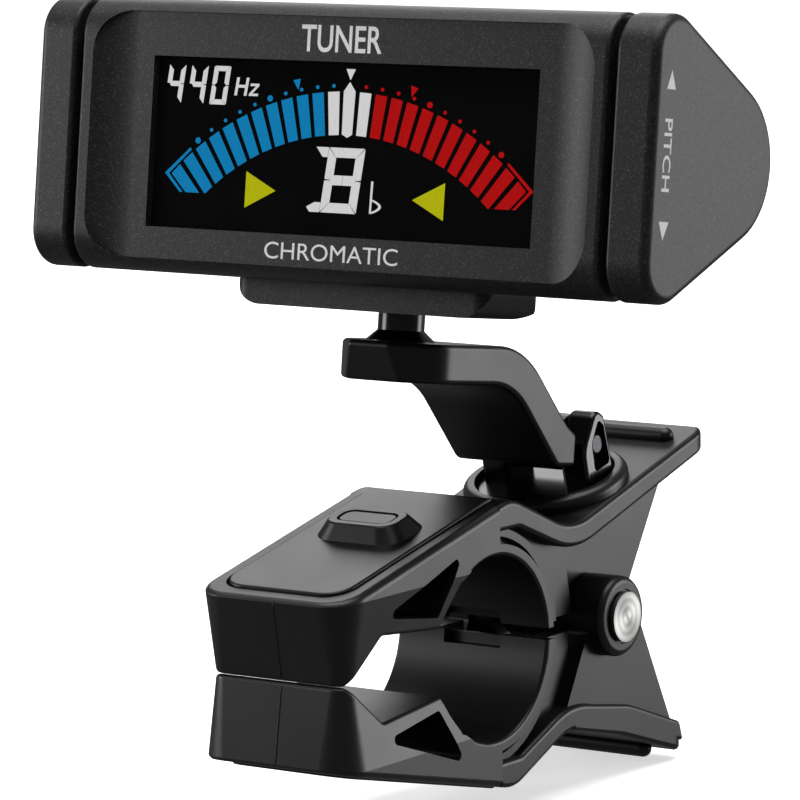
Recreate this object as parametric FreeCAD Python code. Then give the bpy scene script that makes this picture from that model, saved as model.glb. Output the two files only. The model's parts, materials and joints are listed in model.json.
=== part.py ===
"""Clip-on tuner: display head on a tilting, turning arm above a sprung two-lever clip.

Millimetres. The origin is the centre of the round throat of the clip. +X runs along the throat,
+Y runs from the jaw tips to the finger ends of the levers, and +Z runs up through the head.
"""
import FreeCAD
import Part
import math
import os

# ---------------------------------------------------------------- driving dimensions
# clip
JAW_HALF = 9.0            # half width of the levers and pads
THROAT_R = 9.2            # free radius of the round throat
LINER_R = 10.3            # outside radius of the soft throat liner
LINER_HALF = 9.0          # half width of the liner
RIB_R = (11.0, 11.8)      # radii of the rib that runs beside the liner
PLATE_T = 2.5             # thickness of the lever plates
DECK_HALF = 7.1           # half width of the hard deck inside the soft rim
DECK_GROOVE = 0.3         # width of the groove between the deck and the pad's rim
SEAM_Y = 0.9              # where the soft pad meets the bare lever
TIP_Y = -25.4             # front face of the jaw tips
TIP_Z = 8.1               # height of the deck line at the tips
TIP_GAP = 0.05            # half of the gap between the closed pads
TIP_HALF = 7.9            # half width of the pads where they meet
TIP_SET = 1.3             # how far the pads' front face leans back there
CREST = (3.2, 14.5)       # high point of the upper lever, Y and Z
VALLEY = (14.0, 9.9)      # low point behind the throat
TOP_END = (40.3, 17.2)    # finger end of the upper lever
BOTTOM_END = (35.6, 16.7)  # finger end of the lower lever, mirrored
PIVOT = (21.3, 0.0)       # pivot pin axis, Y and Z
PIN_R = 1.5
PIN_DISC_R = 2.55
RUN_GAP = 0.05            # radial clearance of a running fit
UPPER_CHEEK = (3.4, 5.6)  # inner and outer X of the upper lever's cheeks
LOWER_CHEEK = (6.0, 8.4)  # inner and outer X of the lower lever's cheeks
BAND_X = 7.0              # inner X of the band along each edge of the lower lever
BOSS_R = 4.1
BOSS_X = 10.2             # outer face of the pivot bosses

# turret and its clevis
PLATE_TILT = 14.0         # slope of the rear plate, degrees
TURRET_Y = 23.0
COLLAR_R = 8.5
COLLAR_BORE = 7.25
COLLAR_H = 1.6
TURRET_R = 7.1
TURRET_H = 0.9
SHAFT_R = 2.0             # shaft of the turret through the rear plate
SCREW_SEAT = -3.4         # end of that shaft, from the plate's upper face
SCREW_R = 0.8
EAR = (3.3, 6.4)          # inner and outer X of the clevis ears
EAR_POCKET = 1.1          # depth of the pocket in each ear
HINGE = (23.2, 17.0)      # arm hinge axis, Y and Z
HINGE_R = 1.0

# arm and head: both lean back by the same angle about X
LEAN = 7.2                # degrees
POST_BASE = (-2.75, 30.1)  # Y and Z of the post's axis at the top face of the arm
POST_R = 2.3
POST_H = 2.8
STEM_R = 1.65             # stem of the post pressed into the arm
NECK_R = 1.5              # neck that turns in the foot block
CLIP_R = 2.4              # snap ring on that neck
ARM_HALF = 6.2
ARM_T = 3.9
TONGUE_HALF = 3.0

# head, measured from the centre of the display
DISPLAY_Y = -12.4         # display centre from the post, along the arm
DISPLAY_Z = 18.1
HEAD_HALF = 36.0
BODY_HALF = 30.6
CAP_IN = 31.5             # inner face of the end caps
HEAD_MID = 0.6            # middle of the head's height above the display centre
FRONT_Y = -1.2
CORNER_R = 3.8
CORNER_Y = 2.6
CORNER_Z = 9.6
NOSE_R = 7.8
NOSE_Y = 12.8
WALL = 1.2
SPLIT_Y = 5.0             # joint line between front and rear case
BOARD_BACK = 4.25         # back face of the circuit board
PANEL = (29.2, 12.05)     # half width and half height of the recessed front panel
PANEL_FLAT = 24.4         # half width of the flat part of the panel
WINDOW = (22.5, 8.34)     # half width and half height of the display window
COVER_HALF = 24.2         # half width of the battery opening
COVER_TOP_Y = 13.0        # its upper and lower edges
COVER_LOW_Y = 16.2
HUB_Y = 8.5               # axis of the end caps
HUB_R = 3.0
AAA_R = 5.25
AAA_L = 44.5
AAA_Y = 12.4


# ---------------------------------------------------------------- helpers
def vec(x, y, z):
    return FreeCAD.Vector(x, y, z)


PLANES = {
    "YZ": (lambda a, b, n: vec(n, a, b), vec(1, 0, 0)),
    "XY": (lambda a, b, n: vec(a, b, n), vec(0, 0, 1)),
    "XZ": (lambda a, b, n: vec(a, n, b), vec(0, 1, 0)),
}
FAR = 40.0                # reach of a cutting shape that passes right through


def outline(points, plane, level):
    """Closed wire through (a, b) or (a, b, radius) corners; a radius rounds that corner."""
    place = PLANES[plane][0]
    flat = [FreeCAD.Vector(p[0], p[1], 0) for p in points]
    starts, ends, middles = [], [], []
    count = len(points)
    for i, corner in enumerate(flat):
        radius = points[i][2] if len(points[i]) > 2 else 0.0
        back = (flat[i - 1] - corner).normalize()
        ahead = (flat[(i + 1) % count] - corner).normalize()
        if radius == 0.0:
            starts.append(corner)
            ends.append(corner)
            middles.append(None)
            continue
        half = back.getAngle(ahead) / 2
        reach = radius / math.tan(half)
        towards = (back + ahead).normalize()
        starts.append(corner + back * reach)
        ends.append(corner + ahead * reach)
        middles.append(corner + towards * (radius / math.sin(half) - radius))
    edges = []
    for i in range(count):
        if middles[i] is not None:
            arc = [place(p.x, p.y, level) for p in (starts[i], middles[i], ends[i])]
            edges.append(Part.Arc(*arc).toShape())
        here, there = ends[i], starts[(i + 1) % count]
        if here.distanceToPoint(there) > 1e-6:
            edges.append(Part.makeLine(place(here.x, here.y, level), place(there.x, there.y, level)))
    return Part.Wire(edges)


def prism(points, plane, low, high):
    """Solid of one outline, from low to high along the plane's normal."""
    face = Part.Face(outline(points, plane, low))
    return face.extrude(PLANES[plane][1] * (high - low))


def block(x, y, z):
    """Box from three (low, high) pairs."""
    size = [high - low for low, high in (x, y, z)]
    return Part.makeBox(size[0], size[1], size[2], vec(x[0], y[0], z[0]))


def rod_x(radius, low, high, y, z):
    return Part.makeCylinder(radius, high - low, vec(low, y, z), vec(1, 0, 0))


def rod_y(radius, low, high, x, z):
    return Part.makeCylinder(radius, high - low, vec(x, low, z), vec(0, 1, 0))


def rod_z(radius, low, high, x, y):
    return Part.makeCylinder(radius, high - low, vec(x, y, low), vec(0, 0, 1))


def tube_x(outer, inner, low, high, y, z):
    return rod_x(outer, low, high, y, z).cut(rod_x(inner, low - 1, high + 1, y, z))


def both_sides(shape):
    """The shape and its mirror image across X = 0."""
    return [shape, shape.mirror(vec(0, 0, 0), vec(1, 0, 0))]


def flipped(shape):
    """The mirror image across Z = 0, for what the lower lever repeats of the upper one."""
    return shape.mirror(vec(0, 0, 0), vec(0, 0, 1))


def join(*shapes):
    return shapes[0].fuse(list(shapes[1:])).removeSplitter()


def soften(shape, radius, wanted):
    """Round every edge that the test accepts."""
    return shape.makeFillet(radius, [edge for edge in shape.Edges if wanted(edge)])


def tilted(shape, degrees, y, z):
    """Turn a shape about X, then set its own origin at (y, z)."""
    moved = shape.copy()
    turn = FreeCAD.Rotation(vec(1, 0, 0), degrees)
    moved.Placement = FreeCAD.Placement(vec(0, y, z), turn).multiply(moved.Placement)
    return moved


def on_plate(shape):
    """From the turret's own frame, Z square to the rear plate, into the tuner's frame."""
    return tilted(shape, PLATE_TILT, TURRET_Y, plate_top(TURRET_Y))


def on_arm(shape):
    """From the arm's own frame, origin at the foot of the post, into the tuner's frame."""
    return tilted(shape, -LEAN, POST_BASE[0], POST_BASE[1])


def in_head(shape):
    """From the head's own frame, origin at the display centre, into the tuner's frame."""
    moved = shape.copy()
    moved.translate(vec(0, DISPLAY_Y, DISPLAY_Z))
    return on_arm(moved)


def arm_frame(y, z):
    """Arm-frame coordinates of a point given in the tuner's frame."""
    turn = math.radians(LEAN)
    dy, dz = y - POST_BASE[0], z - POST_BASE[1]
    return dy * math.cos(turn) - dz * math.sin(turn), dy * math.sin(turn) + dz * math.cos(turn)


def plate_top(y):
    """Height of the rear plate's upper face at a given Y."""
    return VALLEY[1] + (y - VALLEY[0]) * math.tan(math.radians(PLATE_TILT))


DECK_SLOPE = (CREST[1] - TIP_Z) / (CREST[0] - TIP_Y)


def deck_top(y):
    """Height of the front deck line at a given Y."""
    return TIP_Z + (y - TIP_Y) * DECK_SLOPE


# ---------------------------------------------------------------- clip
def lever_band(end):
    """Side view of the bent plate from the seam to the finger end."""
    inner_end = (end[0] - 0.4, end[1] - PLATE_T + 0.1, 0.6)
    return [
        (SEAM_Y, deck_top(SEAM_Y)),
        (CREST[0], CREST[1], 5.0),
        (VALLEY[0], VALLEY[1], 9.0),
        (end[0], end[1], 0.8),
        inner_end,
        (VALLEY[0] + 0.3, VALLEY[1] - PLATE_T, 11.0),
        (CREST[0] + 1.2, CREST[1] - 3.1, 1.5),
        (SEAM_Y, CREST[1] - 3.1),
    ]


def lever_plate(end):
    """Bent plate with rounded finger corners, cut out of one wide extrusion."""
    plate = prism(lever_band(end), "YZ", -JAW_HALF, JAW_HALF)
    plan = [(-JAW_HALF, -FAR), (JAW_HALF, -FAR), (JAW_HALF, end[0], 2.6), (-JAW_HALF, end[0], 2.6)]
    plate = plate.common(prism(plan, "XY", -5.0, FAR))
    return soften(plate, 0.5, lambda edge: edge.BoundBox.YMax > SEAM_Y + 0.001)


def deck(grow=0.0, proud=0.25, thickness=1.7):
    """Hard front deck that the soft pad is moulded around; grow widens it on all sides."""
    front = TIP_Y + 1.9 - grow
    back = CREST[0] - 1.0
    half = DECK_HALF + grow
    side = [
        (front, deck_top(front) + proud),
        (back, deck_top(back) + proud),
        (back, deck_top(back) - thickness),
        (front, deck_top(front) - thickness),
    ]
    plan = [(-half, front, 2.6 + grow), (half, front, 2.6 + grow), (half, back), (-half, back)]
    return prism(side, "YZ", -half, half).common(prism(plan, "XY", 0.0, FAR))


def smooth_deck():
    """The deck with its upper edge rounded."""
    body = deck()
    top = deck_top(TIP_Y) - 0.2
    return soften(body, 0.22, lambda edge: edge.BoundBox.ZMin > top and on_deck_top(edge))


def on_deck_top(edge):
    """True when both ends of an edge lie on the deck's raised face."""
    return all(abs(p.Point.z - deck_top(p.Point.y) - 0.25) < 0.01 for p in edge.Vertexes)


def finger_rib(end):
    """Raised grip rib with round ends across the lever near its finger end."""
    inset, radius, half = 4.4, 0.9, 6.2
    y = end[0] - inset
    z = end[1] - inset * math.tan(math.radians(PLATE_TILT)) + 0.15
    ends = [Part.makeSphere(radius, vec(x, y, z)) for x in (-half, half)]
    return join(rod_x(radius, -half, half, y, z), *ends)


def throat_web():
    """Wall that carries the liner, between the throat and the cheeks, with a rib beside the liner."""
    side = [(1.2, 9.4), (1.2, 12.6), (6.0, 12.4), (14.8, 8.2), (16.4, 0.9), (8.0, 0.9)]
    web = prism(side, "YZ", -7.2, 7.2)
    rib = tube_x(RIB_R[1], RIB_R[0], -8.3, 8.3, 0, 0).common(prism(side, "YZ", -FAR, FAR))
    hollow = prism([(10.9, -2.0), (10.9, 6.6), (16.0, 6.6), (18.4, -2.0)], "YZ", -5.4, 5.4)
    return web.fuse(rib).cut(rod_x(LINER_R, -FAR, FAR, 0, 0)).cut(hollow)


def upper_cheek():
    """Inner cheek of the upper lever with the pivot boss."""
    side = [
        (15.6, 8.6),
        (18.9, 0.8),
        (19.6, -2.4, 1.5),
        (23.2, -3.0, 1.5),
        (29.4, 1.6, 2.0),
        (37.6, 14.5),
        (24.0, 10.7),
    ]
    cheek = prism(side, "YZ", UPPER_CHEEK[0], UPPER_CHEEK[1])
    return cheek.fuse(rod_x(3.6, UPPER_CHEEK[0], UPPER_CHEEK[1], *PIVOT))


def lower_cheek():
    """Outer cheek of the lower lever, drawn upright, with its proud pivot boss."""
    side = [
        (12.6, 9.8),
        (17.3, 1.5),
        (18.0, -1.5, 2.0),
        (24.6, -1.5, 2.0),
        (27.2, 1.4),
        (33.6, 13.9),
        (14.0, 9.8),
    ]
    cheek = prism(side, "YZ", LOWER_CHEEK[0], LOWER_CHEEK[1])
    boss = rod_x(BOSS_R, LOWER_CHEEK[0], BOSS_X, *PIVOT)
    boss = soften(boss, 0.7, lambda edge: edge.BoundBox.XMin > BOSS_X - 0.001)
    seat = rod_x(PIN_DISC_R + 0.25, BOSS_X - 0.25, BOSS_X + 1, *PIVOT)
    return cheek.fuse(boss).cut(seat)


def edge_band():
    """Proud band along the edge of the lower lever, from the throat to the finger end."""
    side = [(13.2, 9.4), (16.2, 8.3, 3.0), (24.5, 9.7, 12.0), (33.8, 13.0), (34.5, 15.2), (14.0, 10.6)]
    band = prism(side, "YZ", BAND_X, JAW_HALF)
    outer = JAW_HALF - 0.001
    return soften(band, 0.4, lambda edge: edge.BoundBox.XMin > outer and edge.BoundBox.ZMin < 12.9)


def collar():
    """Raised ring round the turret, rounded outside and eased inside."""
    ring = rod_z(COLLAR_R, -0.8, COLLAR_H, 0, 0)
    ring = soften(ring, 0.85, lambda edge: edge.BoundBox.ZMin > COLLAR_H - 0.001)
    ring = ring.cut(rod_z(COLLAR_BORE, -2, COLLAR_H + 1, 0, 0))
    return ring


def upper_lever():
    cheeks = both_sides(upper_cheek())
    body = join(lever_plate(TOP_END), smooth_deck(), finger_rib(TOP_END), throat_web(), *cheeks)
    bore = on_plate(rod_z(COLLAR_BORE, 0.0, COLLAR_H + 1, 0, 0))
    shaft_hole = on_plate(rod_z(SHAFT_R + RUN_GAP, -6, 3, 0, 0))
    body = body.fuse(on_plate(collar())).cut(bore).cut(shaft_hole)
    body = body.cut(rod_x(PIN_R + RUN_GAP, -FAR, FAR, *PIVOT))
    return body.removeSplitter()


def lower_lever():
    """Mirror of the upper plate with its own outer cheeks."""
    plate = lever_plate(BOTTOM_END)
    web = throat_web().common(block((-FAR, FAR), (0, 15.6), (0, 20)))
    sides = both_sides(lower_cheek()) + both_sides(edge_band())
    body = join(plate, smooth_deck(), finger_rib(BOTTOM_END), web, *sides)
    body = body.cut(rod_x(PIN_R, -FAR, FAR, *PIVOT))
    return flipped(body).removeSplitter()


def pad_form():
    """Outer form of a pad: rounded corners that draw in towards the line where the tips meet."""
    corner, tip_corner = 3.4, 1.6
    front = TIP_Y + TIP_SET

    def plan_of(half, y, radius):
        return [(-half, y, radius), (half, y, radius), (half, SEAM_Y), (-half, SEAM_Y)]

    low = plan_of(TIP_HALF, front, tip_corner)
    plan = plan_of(JAW_HALF, TIP_Y, corner)
    side = [
        (TIP_Y - 1, TIP_GAP),
        (TIP_Y - 1, deck_top(TIP_Y - 1)),
        (SEAM_Y, deck_top(SEAM_Y)),
        (SEAM_Y, 9.0),
        (-5.4, 7.6),
        (-8.7, 3.3, 0.4),
        (-18.5, 4.2, 0.8),
        (-23.3, TIP_GAP, 0.6),
    ]
    body = prism(side, "YZ", -JAW_HALF - 1, JAW_HALF + 1).common(prism(plan, "XY", -1, FAR))
    body = soften(body, 0.7, on_pad_top)
    drawn_in = Part.makeLoft([outline(low, "XY", 0.0), outline(plan, "XY", TIP_Z)], True)
    body = body.common(drawn_in.fuse(block((-FAR, FAR), (-FAR, FAR), (TIP_Z, FAR))))
    contact = TIP_GAP + 0.01
    return soften(body, 0.4, lambda edge: edge.BoundBox.ZMax < contact and edge.BoundBox.YMin < -23.4)


def on_pad_top(edge):
    """True when both ends of an edge lie on the pad's upper face, ahead of the seam."""
    level = all(abs(p.Point.z - deck_top(p.Point.y)) < 0.01 for p in edge.Vertexes)
    return level and edge.BoundBox.YMin < SEAM_Y - 0.01


def pad():
    """Soft jaw pad: gripping tip, open triangle and rim around the hard deck."""
    window = prism([(-18.8, 5.9, 0.5), (-9.3, 4.5, 0.5), (-5.6, 10.3, 0.5)], "YZ", -FAR, FAR)
    body = pad_form().cut(window)
    throat = rod_x(THROAT_R + 0.1, -FAR, FAR, 0, 0)
    seat = rod_x(LINER_R, -FAR, FAR, 0, 0).common(block((-FAR, FAR), (-4.2, 5), (0, 20)))
    groove = deck(DECK_GROOVE, 2.0, 0.55)
    return body.cut(throat).cut(seat).cut(groove).cut(deck())


def liner(share):
    """Soft half-ring that lines the throat, with a notch at the back for the spring."""
    ring = tube_x(LINER_R, THROAT_R, -LINER_HALF, LINER_HALF, 0, 0)
    inside = THROAT_R + 0.1
    ring = soften(ring, 0.35, lambda edge: edge.BoundBox.ZMax < inside and edge.BoundBox.XLength < 0.1)
    keep = block((-FAR, FAR), (-4.2, 20), (share, 20))
    notch = block((-3.4, 3.4), (5, 20), (-1, 1.9))
    return ring.common(keep).cut(notch)


def pad_stud():
    """Locking stud of the upper pad: a bevelled ring round a flat lug, on top of the deck."""
    y = -8.4
    z = deck_top(y) + 0.25
    top = 1.5
    slope = math.degrees(math.atan(DECK_SLOPE))

    def oval(half_x, half_y, radius):
        return [(-half_x, -half_y, radius), (half_x, -half_y, radius), (half_x, half_y, radius),
                (-half_x, half_y, radius)]

    foot = outline(oval(5.1, 3.2, 2.3), "XY", 0.0)
    crown = outline(oval(4.0, 2.2, 1.7), "XY", top)
    stud = Part.makeLoft([foot, crown], True)
    stud = soften(stud, 0.25, lambda edge: edge.BoundBox.ZMin > top - 0.01)
    well = prism(oval(3.2, 1.45, 1.1), "XY", top - 0.4, 3.0)
    lug = prism(oval(2.9, 1.15, 0.8), "XY", top - 0.5, top - 0.08)
    return tilted(stud.cut(well).fuse(lug), slope, y, z)


def torsion_spring():
    """Coil around the pivot pin with one leg under each lever."""
    coil = tube_x(3.2, 2.0, -3.1, 3.1, *PIVOT)
    y, z = PIVOT
    upper_leg = Part.makeCylinder(0.55, 10.5, vec(-2.3, y, z + 2.6), vec(0, 0.62, 0.6))
    lower_leg = Part.makeCylinder(0.55, 10.5, vec(2.3, y, z - 2.6), vec(0, 0.62, -0.6))
    return join(coil, upper_leg, lower_leg)


def pivot_pin():
    """Shouldered pin; its bright heads sit in the lower lever's bosses."""
    shaft = rod_x(PIN_R, -BOSS_X - 0.3, BOSS_X + 0.3, *PIVOT)
    heads = both_sides(rod_x(PIN_DISC_R, BOSS_X, BOSS_X + 0.5, *PIVOT))
    return join(shaft, *heads)


# ---------------------------------------------------------------- turret and arm
def hinge_in_turret():
    """Y and height of the arm hinge in the turret's own frame."""
    turn = math.radians(PLATE_TILT)
    dy = HINGE[0] - TURRET_Y
    dz = HINGE[1] - plate_top(TURRET_Y)
    return dy * math.cos(turn) + dz * math.sin(turn), -dy * math.sin(turn) + dz * math.cos(turn)


def clevis_ear():
    """One pointed ear with a pocket for the end of the hinge pin."""
    y, h = hinge_in_turret()
    side = [
        (y - 3.2, 0.0),
        (y - 3.1, h + 0.4, 3.0),
        (y + 0.2, h + 3.9, 1.2),
        (y + 1.6, h + 2.6, 0.8),
        (y + 1.9, 0.0),
    ]
    ear = prism(side, "YZ", EAR[0], EAR[1])
    ear = soften(ear, 0.45, lambda edge: edge.BoundBox.ZMax > 0.001)
    recess = [
        (y - 1.6, h - 2.4, 0.5),
        (y - 1.5, h + 0.6, 1.2),
        (y + 0.3, h + 2.7, 0.5),
        (y + 1.1, h + 1.7, 0.5),
        (y + 1.3, h - 2.4, 0.5),
    ]
    return ear.cut(prism(recess, "YZ", EAR[1] - EAR_POCKET, EAR[1] + 1))


def turret():
    """Turning base of the arm: disc, shaft through the plate and two ears for the hinge pin."""
    y, h = hinge_in_turret()
    disc = rod_z(TURRET_R, RUN_GAP, TURRET_H, 0, 0)
    disc = soften(disc, 0.3, lambda edge: edge.BoundBox.ZMin > TURRET_H - 0.001)
    shaft = rod_z(SHAFT_R, SCREW_SEAT, 0.5, 0, 0)
    ears = [ear.common(rod_z(TURRET_R - 0.1, 0.2, 20, 0, 0)) for ear in both_sides(clevis_ear())]
    body = join(disc, shaft, *ears)
    body = body.cut(rod_x(HINGE_R, -FAR, FAR, y, h))
    body = body.cut(rod_z(SCREW_R, -6, -0.5, 0, 0))
    return on_plate(body)


def turret_washer():
    """Washer round the turret's shaft, under the plate."""
    low = SCREW_SEAT + 0.15
    ring = rod_z(2.95, low, low + 0.5, 0, 0)
    return on_plate(ring.cut(rod_z(SHAFT_R + RUN_GAP, -6, 3, 0, 0)))


def turret_screw():
    """Slotted screw that holds the turret and washer to the plate."""
    head = rod_z(2.4, SCREW_SEAT - 0.9, SCREW_SEAT, 0, 0)
    slot = block((-2.6, 2.6), (-0.25, 0.25), (SCREW_SEAT - 1.0, SCREW_SEAT - 0.5))
    return on_plate(join(head, rod_z(SCREW_R, SCREW_SEAT, -0.5, 0, 0)).cut(slot))


def arm():
    """S-shaped arm: blunt-nosed plate under the head, bent down to a tongue on the hinge."""
    hu, hw = arm_frame(*HINGE)
    side = [
        (-4.5, -ARM_T),
        (-5.6, 0.0),
        (13.0, 0.0, 11.0),
        (21.6, -7.8, 3.0),
        (23.3, -8.7),
        (23.3, -12.0),
        (20.0, -12.0, 1.5),
        (11.2, -ARM_T, 9.0),
    ]
    plan = [
        (-2.2, -5.6, 1.0),
        (2.2, -5.6, 1.0),
        (ARM_HALF, -1.2, 3.5),
        (ARM_HALF, 30),
        (-ARM_HALF, 30),
        (-ARM_HALF, -1.2, 3.5),
    ]
    plate = prism(side, "YZ", -8, 8).common(prism(plan, "XY", -30, 5))
    plate = soften(plate, 0.5, lambda edge: True)
    neck = [(18.0, -7.0), (22.0, -8.4), (hu, hw + 2.9), (hu, hw - 2.9), (22.0, -11.4), (18.5, -10.6)]
    tongue = prism(neck, "YZ", -TONGUE_HALF, TONGUE_HALF).fuse(rod_x(2.9, -TONGUE_HALF, TONGUE_HALF, hu, hw))
    body = join(plate, tongue).cut(rod_x(HINGE_R + RUN_GAP, -FAR, FAR, hu, hw))
    body = body.cut(rod_z(STEM_R, -ARM_T - 1, 1, 0, 0))
    return on_arm(body)


def hinge_pin():
    """Pin across the clevis; each end shows as a small round head in the ear's pocket."""
    y, z = HINGE
    seat = EAR[1] - EAR_POCKET
    shaft = rod_x(HINGE_R, -seat, seat, y, z)
    head = rod_x(1.1, seat, seat + 0.75, y, z)
    head = soften(head, 0.3, lambda edge: edge.BoundBox.XMin > seat + 0.74)
    return join(shaft, *both_sides(head))


def swivel_post():
    """Post fixed in the arm: cone foot, round shaft and a neck that turns in the foot block."""
    cone = Part.makeCone(POST_R + 1.1, POST_R, 1.0, vec(0, 0, 0.05), vec(0, 0, 1))
    foot = rod_z(POST_R + 1.1, 0.0, 0.05, 0, 0)
    shaft = rod_z(POST_R, 1.0, POST_H - 0.15, 0, 0)
    stem = rod_z(STEM_R, -ARM_T, 0.0, 0, 0)
    neck = rod_z(NECK_R, POST_H - 0.15, POST_H + 2.6, 0, 0)
    return on_arm(join(foot, cone, shaft, stem, neck))


# ---------------------------------------------------------------- head
def head_section(inset, low, high, front=FRONT_Y):
    """Solid of the head's side profile: flat front, two rounded corners, round nose at the back.

    The slanted faces are the common tangents of the corner circles and the nose circle.
    """
    corner, nose = CORNER_R - inset, NOSE_R - inset
    dy, dz = NOSE_Y - CORNER_Y, -CORNER_Z
    turn = math.atan2(dz, dy) + math.acos((corner - nose) / math.hypot(dy, dz))
    ny, nz = math.cos(turn), math.sin(turn)
    mid_turn = (turn + math.pi) / 2
    upper = [
        (CORNER_Y - corner, CORNER_Z),
        (CORNER_Y + corner * math.cos(mid_turn), CORNER_Z + corner * math.sin(mid_turn)),
        (CORNER_Y + corner * ny, CORNER_Z + corner * nz),
        (NOSE_Y + nose * ny, nose * nz),
    ]
    points = [vec(low, y, HEAD_MID + z) for y, z in upper]
    mirror = [vec(low, y, HEAD_MID - z) for y, z in upper]
    tip = vec(low, NOSE_Y + nose, HEAD_MID)
    edges = [
        Part.Arc(points[0], points[1], points[2]).toShape(),
        Part.makeLine(points[2], points[3]),
        Part.Arc(points[3], tip, mirror[3]).toShape(),
        Part.makeLine(mirror[3], mirror[2]),
        Part.Arc(mirror[2], mirror[1], mirror[0]).toShape(),
        Part.makeLine(mirror[0], points[0]),
    ]
    solid = Part.Face(Part.Wire(edges)).extrude(vec(high - low, 0, 0))
    if front > CORNER_Y - corner:
        solid = solid.cut(block((low - 1, high + 1), (-10, front), (-30, 30)))
    return solid


def panel_recess():
    """What is scooped out of the front: flat in the middle, hollowed up to the rim at both ends."""
    rim, flat = PANEL[0], PANEL_FLAT
    depth = -FRONT_Y
    reach = rim - flat
    sag = (reach * reach + depth * depth) / (2 * depth)
    angle = math.asin(reach / sag) / 2
    bend_x = flat + sag * math.sin(angle)
    bend_y = -(sag - sag * math.cos(angle))
    right = [vec(flat, 0, -20), vec(bend_x, bend_y, -20), vec(rim, FRONT_Y, -20)]
    left = [vec(-p.x, p.y, p.z) for p in right]
    edges = [
        Part.makeLine(left[0], right[0]),
        Part.Arc(*right).toShape(),
        Part.makeLine(right[2], vec(rim, -5, -20)),
        Part.makeLine(vec(rim, -5, -20), vec(-rim, -5, -20)),
        Part.makeLine(vec(-rim, -5, -20), left[2]),
        Part.Arc(*left).toShape(),
    ]
    scoop = Part.Face(Part.Wire(Part.__sortEdges__(edges))).extrude(vec(0, 0, 40))
    half_z = PANEL[1]
    frame = [(-rim, HEAD_MID - half_z, 4.2), (rim, HEAD_MID - half_z, 4.2), (rim, HEAD_MID + half_z, 4.2),
             (-rim, HEAD_MID + half_z, 4.2)]
    return scoop.common(prism(frame, "XZ", -5, 3))


def screw_spots():
    return [(x, HEAD_MID + z) for x in (-26.4, 26.4) for z in (-7.8, 7.8)]


def case_shell():
    """Whole hollow head body before it is split into front and rear case."""
    outer = head_section(0.0, -BODY_HALF, BODY_HALF)
    outer = soften(outer, 0.4, lambda edge: edge.BoundBox.XLength < 0.001)
    inner = head_section(WALL, -BODY_HALF + WALL, BODY_HALF - WALL, 0.9)
    return outer.cut(inner)


def front_case():
    shell = case_shell().common(block((-40, 40), (-5, SPLIT_Y), (-30, 30)))
    shell = shell.cut(panel_recess())
    wx, wz = WINDOW
    shell = shell.cut(block((-wx, wx), (-5, 3), (-wz, wz)))
    posts = [rod_y(1.9, 0.8, SPLIT_Y, x, z) for x, z in screw_spots()]
    holes = [rod_y(0.9, 1.6, SPLIT_Y + 1, x, z) for x, z in screw_spots()]
    return in_head(join(shell, *posts).cut(Part.makeCompound(holes)))


def rear_case():
    """Back half of the head body: screw posts, bay walls and the opening for the cell."""
    half = BODY_HALF
    shell = case_shell().common(block((-FAR, FAR), (SPLIT_Y, 30), (-30, 30)))
    inside = head_section(0.0, -half, half)
    posts = [rod_y(2.3, SPLIT_Y, 20, x, z).common(inside) for x, z in screw_spots()]
    ribs = [block((x, x + 0.8), (SPLIT_Y + 0.6, 20), (-20, 20)).common(inside) for x in (-25.6, 24.8)]
    shell = join(shell, *posts, *ribs)
    for x, z in screw_spots():
        shell = shell.cut(rod_y(1.0, 0, 9.0, x, z)).cut(rod_y(1.75, 8.5, 30, x, z))
    shell = shell.cut(cover_space(0.0))
    shell = shell.cut(rod_x(HUB_R + RUN_GAP, -FAR, FAR, HUB_Y, HEAD_MID))
    return in_head(shell)


def cover_space(gap):
    """Room for the battery cover; its lower edge stays behind the foot block."""
    half = COVER_HALF - gap
    above = block((-half, half), (COVER_TOP_Y + gap, 30), (0.0, 20))
    below = block((-half, half), (COVER_LOW_Y + gap, 30), (-20, 0.0))
    return above.fuse(below)


def battery_cover():
    """Curved cover over the cell, with two sets of finger grooves."""
    shell = case_shell().common(cover_space(0.15))
    grooves = [block((x, x + 0.8), (10, 30), (-3, 3)) for x in (-20.6, -19.0, -17.4, 16.6, 18.2, 19.8)]
    skin = head_section(0.35, -30, 30)
    cuts = [groove.cut(skin) for groove in grooves]
    return in_head(shell.cut(Part.makeCompound(cuts)))


def display_window():
    wx, wz = WINDOW
    return in_head(block((-wx + 0.08, wx - 0.08), (0.12, 0.62), (-wz + 0.08, wz - 0.08)))


def lcd_panel():
    return in_head(block((-23.4, 23.4), (0.95, 2.6), (-9.1, 9.1)))


def light_guide():
    return in_head(block((-23.4, 23.4), (2.65, 3.4), (-8.9, 8.9)))


def circuit_board():
    return in_head(block((-23.4, 23.4), (3.45, BOARD_BACK), (-9.0, 9.6)))


def processor():
    """Square chip on the back of the board, with its index dimple."""
    half = 3.5
    chip = block((-half, half), (BOARD_BACK, BOARD_BACK + 0.95), (HEAD_MID - half, HEAD_MID + half))
    dimple = rod_y(0.4, BOARD_BACK + 0.85, 6, -2.6, HEAD_MID + 2.6)
    return in_head(chip.cut(dimple))


def display_cable():
    """Flat lead folded round the lower edge of the board."""
    side = [
        (1.5, -9.1),
        (1.5, -9.7, 0.4),
        (4.7, -9.7, 0.4),
        (4.7, -6.6),
        (4.4, -6.6),
        (4.4, -9.4, 0.2),
        (1.8, -9.4, 0.2),
        (1.8, -9.1),
    ]
    return in_head(prism(side, "YZ", -10.0, 10.0))


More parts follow.
